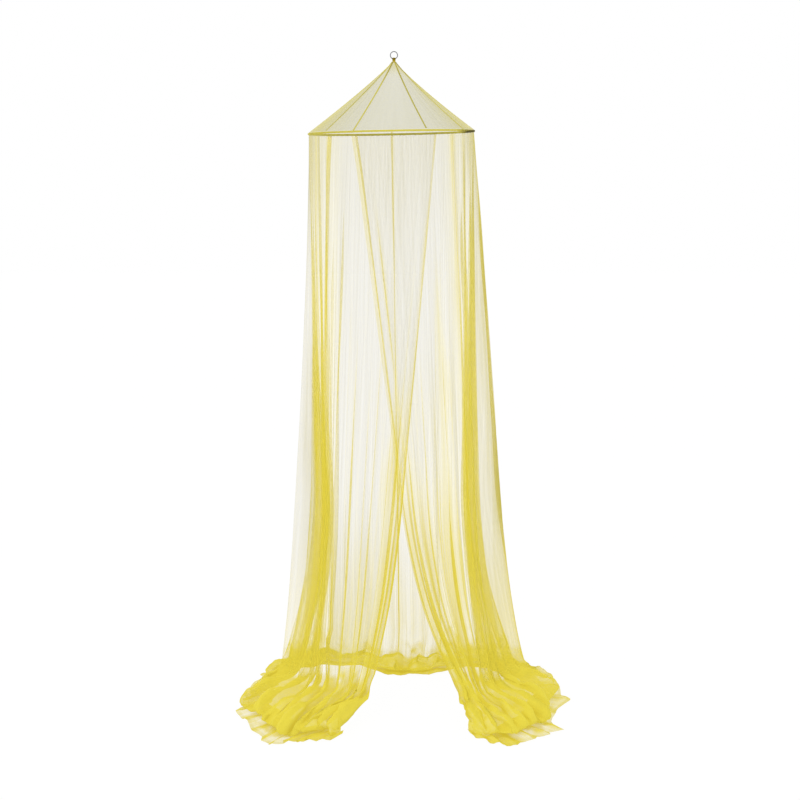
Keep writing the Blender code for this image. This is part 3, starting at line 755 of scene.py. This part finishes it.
HEM_COVER, SIDE_HEM_COVER, HEM_TONE = 0.50, 0.24, 0.9
FILMS = ((-86, 4.0, 0.12), (-274, 9.0, 0.55))    # folds that stand out thin: place, half width, tone
TOP_TONE = 0.4                                  # how much of the gathered net's colour shows at the hoop


def all_pleats():
    """The lines and the fine pleats between them, by their place along the hoop."""
    rng = np.random.default_rng(5)
    pleats = [Pleat(along_hoop(line.hoop), line.half, line.deep, line.start, line.dense,
                    min(1.0, 0.3 + 1.2 * line.dense), LINE_STEPS) for line in LINES]
    for left, right in zip(pleats[:-1], pleats[1:]):
        count = round((right.middle - left.middle) / PLEAT_GAP) - 1
        for number in range(count):
            share = (number + 1 + rng.uniform(-0.2, 0.2)) / (count + 1)
            middle = left.middle + (right.middle - left.middle) * share
            half, deep, start = (rng.uniform(*span) for span in (FINE_HALF, FINE_DEEP, FINE_START))
            pleats.append(Pleat(middle, half, deep, start, 0.0, rng.uniform(*FINE_OVER), PLEAT_STEPS))
    return sorted(pleats)


def pleat_columns(pleats, whole):
    """Places of the mesh's columns along the hoop, in degrees from the left leaf's edge, with the
    number of each one's pleat and where it lies in the pleat, from -1 to 1."""
    places, spots, owners = [0.0], [1.0], [0]
    for number, pleat in enumerate(pleats):
        before = pleat.middle - pleat.half
        if before > places[-1] + 0.8:
            places.append((places[-1] + before) / 2)
            spots.append(1.0)
            owners.append(number)
        for spot in np.linspace(-1, 1, pleat.steps):
            if pleat.middle + spot * pleat.half > places[-1] + 0.01:
                places.append(pleat.middle + spot * pleat.half)
                spots.append(spot)
                owners.append(number)
    return np.array([*places, whole]), np.array([*spots, 1.0]), np.array([*owners, len(pleats) - 1])


CROWD_WANDER, CROWD_START = 0.35, 0.4           # how far they wander, of half a width, and take to begin


def crowding(places, along, height):
    """How much more of the net its threads fill, by the soft bands."""
    total = np.zeros(np.broadcast_shapes(places.shape, along.shape))
    down = smooth_step((MID + 0.1 - height) / (MID - LOW))
    wander = waves(15, (30.0, 0.9), places, along)
    for crowd in CROWDS:
        away = (places - along_hoop(crowd.hoop)) / crowd.half + CROWD_WANDER * wander
        ramp = smooth_step((along - crowd.start + CROWD_START * (crowd.start == 0)) / CROWD_START)
        total = total + np.exp(-away ** 2) * ramp * (crowd.high + (crowd.low - crowd.high) * down)
    return total


def crumpled(across, along):
    """An uneven field from -1 to 1 of soft crumples, longer down the cloth than across it."""
    long_wave = waves(31, (0.13, 0.22), across, along)
    short_wave = waves(32, (0.055, 0.09), across, along)
    return np.clip(0.6 * long_wave + 0.35 * short_wave, -1, 1)


DRIFT, DRIFT_START, DRIFT_EDGE = 0.5, 0.5, (8, 25)      # how far pleats wander, in degrees, and where
WANE, WANE_LEAST, WANE_MOST = (0.9, 0.35), 0.3, 1.3     # how their strength wanders down the wall
PLEAT_START = 0.35                              # how long each takes to begin
HEAP_PLEATS, HEAP_PLEATS_END = 0.85, 2.5        # how much of them the heaps swallow, and by which step


def skirt_mesh():
    """The skirt's grid of points, with the fields that its vertex values are worked out from."""
    levels, turns = big_folds()
    whole = turns[-1]
    first = len(DROPS)
    counts = [WALL_ROWS] * first + [step.rows for step in HEAP[:-1]]
    where = [number + np.arange(count) / count for number, count in enumerate(counts)]
    where = np.concatenate([*where, [len(levels) - 1]])
    rows = curve_at(levels, where)
    rooms = [0.0] * first + [step.room for step in HEAP]
    room = np.interp(where, np.arange(len(levels)), rooms)[:, None]
    along = cloth_sizes(rows)[1][:, None]
    past_foot = (where - first)[:, None]

    pleats = all_pleats()
    columns, spots, owners = pleat_columns(pleats, whole)
    place = columns[None, :]
    table = {name: np.array([getattr(pleat, name) for pleat in pleats])[owners][None, :]
             for name in Pleat._fields}
    from_edge = np.minimum(place, whole - place)
    drift = waves(11, (46.0, 1.5), place, along) * DRIFT
    drift = drift * smooth_step(along / DRIFT_START) * fade(from_edge, *DRIFT_EDGE)
    wane = WANE[0] + WANE[1] * waves(12, (2.0, 1.2), owners[None, :] * 1.0, along)
    begun = along - table["start"] + PLEAT_START * (table["start"] == 0)
    strength = table["over"] * np.clip(wane, WANE_LEAST, WANE_MOST) * smooth_step(begun / PLEAT_START)
    strength = strength * (1 - HEAP_PLEATS * smooth_step(past_foot / HEAP_PLEATS_END))
    turned = -np.sin(math.pi * spots)[None, :]
    inside = np.minimum(1, from_edge / (FOLD_BACK * 2 * table["half"]))

    def cloth(at_places):
        at = np.interp(at_places, turns, np.arange(len(turns)))
        return np.stack([curve_at(row, spot) for row, spot in zip(rows, at)])

    flat = cloth(place + drift)
    base = cloth(place + drift + turned * FOLD_BACK * table["half"] * strength * inside)
    across = cloth_sizes(flat)[0][None, :]
    offset = turned * table["deep"] * strength + crumpled(across, along) * room
    grid = base - normals(flat) * offset[..., None]
    grid[..., 2] = FLOOR + np.maximum(grid[..., 2], LEAST_HEIGHT)
    in_pleat = np.sqrt(1 - spots ** 2)[None, :] * np.clip(strength, 0, 1)
    return SimpleNamespace(
        grid=grid, flat=flat, size=cloth_sizes(grid), place=place, along=along, across=across,
        height=rows[:, :, 2].mean(axis=1)[:, None], past_foot=past_foot, from_edge=from_edge,
        in_pleat=in_pleat, dense=table["dense"])


# Zones of the skirt, in degrees along the hoop: where each fades in or out, and over how far.
BEHIND, IN_FRONT = (26, 22), (50, 30)           # from the back's middle, and from the nearer free edge
SIDE_EDGE, SIDE_BACK = (62, 10), (36, 12)       # from that edge, and from the back's middle
SHEER_EDGE, SHEER_BACK = (42, 22), (42, 16)
OUTSIDES = ((126, 24, 1.0), (306, 16, 0.8))     # the heaps' outer sides: place, half width, how much
# In steps past the wall's foot: how much earlier the heap's dense net begins everywhere, in front,
# behind and in blotches, and what it takes; then where the thin outer sides and the rims begin.
HEAP_EARLY, HEAP_FRONT, HEAP_BEHIND, HEAP_BLOTCH, HEAP_SPAN = 0.5, 0.6, -0.8, 0.4, 1.5
OUTSIDE_START, OUTSIDE_SPAN, RIM_START, RIM_SPAN, THIN_BLOTCH = 0.4, 2.2, 10.4, 1.4, 0.8
BLOTCHES = ((21, (0.05, 0.05)), (22, (0.14, 0.12)))     # seeds and sizes
BLOTCH_COVER = 0.08
# In metres below the hoop: where the denser top ends, the lines gain and the full tone shows
TOP_REACH, LINE_REACH, TONE_REACH = 0.5, 0.6, 0.7
ASLANT_TONE, PLEAT_TONE, LOW_TONE, RIM_TONE = 1.4, 4, 0.7, 0.35
CROWD_TONE, CROWD_SHOWN = 0.12, 0.16            # the crowding at which the dense tone shows in full
FILM_FADE, FILM_PLEATS = (0.7, 0.6), 0.7


def skirt_values(mesh):
    """How much of the skirt's net thread fills at each vertex, and its tone."""
    facing = normals(mesh.flat)
    round_way = np.stack([mesh.flat[..., 0] - HOOP_X, mesh.flat[..., 1]], axis=-1)
    round_way /= np.linalg.norm(round_way, axis=-1, keepdims=True)
    aslant = 1 - np.abs((facing[..., :2] * round_way).sum(axis=-1))
    gathered = smooth_step(aslant * ASLANT_TONE)
    from_back = np.abs(mesh.place - BACK)
    behind, in_front = 1 - fade(from_back, *BEHIND), 1 - fade(mesh.from_edge, *IN_FRONT)
    sides = fade(mesh.from_edge, *SIDE_EDGE) * fade(from_back, *SIDE_BACK)
    sheer = fade(mesh.from_edge, *SHEER_EDGE) * fade(from_back, *SHEER_BACK)
    blotch = sum(0.5 * waves(seed, size, mesh.across, mesh.along) for seed, size in BLOTCHES)
    heap = mesh.past_foot + HEAP_EARLY + HEAP_FRONT * in_front + HEAP_BEHIND * behind + HEAP_BLOTCH * blotch
    heap = smooth_step(heap / HEAP_SPAN)
    low = smooth_step((MID - mesh.height) / (MID - LOW))
    outside = sum(most * np.exp(-((mesh.place - middle) / half) ** 2) for middle, half, most in OUTSIDES)
    outside = outside * smooth_step((mesh.past_foot - OUTSIDE_START + THIN_BLOTCH * blotch) / OUTSIDE_SPAN)
    rim = smooth_step((mesh.past_foot - RIM_START + THIN_BLOTCH * blotch) / RIM_SPAN) * sheer
    crowd = crowding(mesh.place, mesh.along, mesh.height)

    cover = THIN_COVER + TOP_COVER * smooth_step(1 - mesh.along / TOP_REACH)
    cover = cover + low * (LOW_COVER + (BACK_LOW_COVER - LOW_COVER) * behind) * (1 - sides)
    lines = 0.5 + 0.5 * smooth_step(mesh.along / LINE_REACH)
    cover = cover + crowd + LINE_COVER * mesh.in_pleat * mesh.dense * lines
    full = HEAP_COVER * (1 + BLOTCH_COVER * blotch)
    full = full + (OUTSIDE_COVER - full) * outside
    full = full + (np.minimum(RIM_COVER, full) - full) * rim
    cover = cover + (full - cover) * heap

    # tone: share of the gathered net's colour, painted brighter for light scattered between layers, against
    # the thin layer's painted shade
    tone = np.maximum.reduce(np.broadcast_arrays(
        gathered, smooth_step(mesh.in_pleat * PLEAT_TONE), smooth_step(crowd / CROWD_TONE), sides,
        LOW_TONE * low))
    for fold, half, most in FILMS:
        away = np.abs(mesh.place - along_hoop(fold)) / half
        film = (1 - fade(away, *FILM_FADE)) * (1 - FILM_PLEATS * mesh.in_pleat) * (1 - low)
        tone = tone * (1 - (1 - most) * film)
    shown = np.maximum(smooth_step(mesh.along / TONE_REACH), smooth_step(crowd / CROWD_SHOWN))
    tone = tone * (TOP_TONE + (1 - TOP_TONE) * shown)
    tone = tone + (1 - tone) * heap * (1 - RIM_TONE * rim)

    across, along = mesh.size
    side_hem = np.minimum(across, across[-1] - across)[None, :] < SIDE_HEM_W
    hem = (along[-1] - along)[:, None] < HEM_W
    cover = np.where(side_hem, np.maximum(cover, SIDE_HEM_COVER), cover)
    cover = np.where(hem, np.maximum(cover, HEM_COVER), cover)
    return cover, np.where(side_hem | hem, HEM_TONE, tone)


def skirt(net):
    mesh = skirt_mesh()
    piece = sheet_object("net_skirt", mesh.grid, net, *skirt_values(mesh), mesh.size)
    settle(piece, "skirt")


# The stage

CAMERA = (0.0218, -6.0, -0.148)
CAMERA_PITCH = math.radians(79.3514)
CAMERA_LENS = 73.287
FLOOR_SIZE, FLOOR_BASE, FLOOR_GLOW = 30, 0.035, 0.968
LAMP_PLACE, LAMP_AIM, LAMP_SIZE, LAMP_POWER = (-1.6, -3.6, 1.6), (0, 0, -1.2), 3.0, 60.0
MOST_LAYERS = 96                                # of net that light passes through


def stage():
    camera = bpy.data.objects.new("camera", bpy.data.cameras.new("camera"))
    camera.location = CAMERA
    camera.rotation_euler = (CAMERA_PITCH, 0, 0)
    camera.data.lens = CAMERA_LENS
    camera.data.sensor_width = 36.0
    bpy.context.collection.objects.link(camera)
    bpy.context.scene.camera = camera

    world = bpy.data.worlds.new("white studio")
    bpy.context.scene.world = world
    world.use_nodes = True
    world.node_tree.nodes["Background"].inputs["Color"].default_value = (1, 1, 1, 1)
    world.node_tree.nodes["Background"].inputs["Strength"].default_value = 1.0

    bpy.ops.object.select_all(action="DESELECT")
    bpy.ops.mesh.primitive_plane_add(size=FLOOR_SIZE, location=(0, 0, FLOOR - 0.0002))
    floor = bpy.context.object
    floor.name = floor.data.name = "floor"
    pale = Graph("pale floor")
    floor.data.materials.append(pale.finish(
        Base_Color=(FLOOR_BASE, FLOOR_BASE, FLOOR_BASE, 1), Roughness=1.0, Specular_IOR_Level=0.0,
        Emission_Color=(1, 1, 1, 1), Emission_Strength=FLOOR_GLOW))

    lamp = bpy.data.lights.new("soft light", "AREA")
    lamp.shape = "DISK"
    lamp.size = LAMP_SIZE
    lamp.energy = LAMP_POWER
    light = bpy.data.objects.new("soft light", lamp)
    light.location = LAMP_PLACE
    light.rotation_euler = (Vector(LAMP_AIM) - light.location).to_track_quat("-Z", "Y").to_euler()
    bpy.context.collection.objects.link(light)

    scene = bpy.context.scene
    scene.view_settings.view_transform = "Standard"
    scene.cycles.transparent_max_bounces = MOST_LAYERS


def main():
    bpy.ops.object.select_all(action="DESELECT")
    stage()
    net = net_finish("sheer net", SHADED_THIN_THREAD, SCATTER_LIT_THREAD, WALL_STREAKS)
    cone_net = net_finish("cone net", SHADED_CONE_THREAD, SCATTER_LIT_CONE, CONE_STREAKS)
    tape = tape_finish("seam tape", (0.62, 0.56, 0.12), (0.34, 0.28, 0.03), 0.8, TAPE_RIB, seam_dark)
    crown = tape_finish("crown tape", (0.52, 0.40, 0.03), (0.16, 0.11, 0.0), 0.5, TAPE_RIB, crown_painted_shade)
    sleeve = tape_finish("casing", (0.78, 0.69, 0.11), (0.07, 0.055, 0.0), 0.4, SLEEVE_RIB, casing_painted_shading)
    steel = steel_finish()
    hanging_ring(steel)
    crown_tape(crown)
    hoop(steel)
    casing(sleeve)
    cone(cone_net, tape)
    skirt(net)


main()
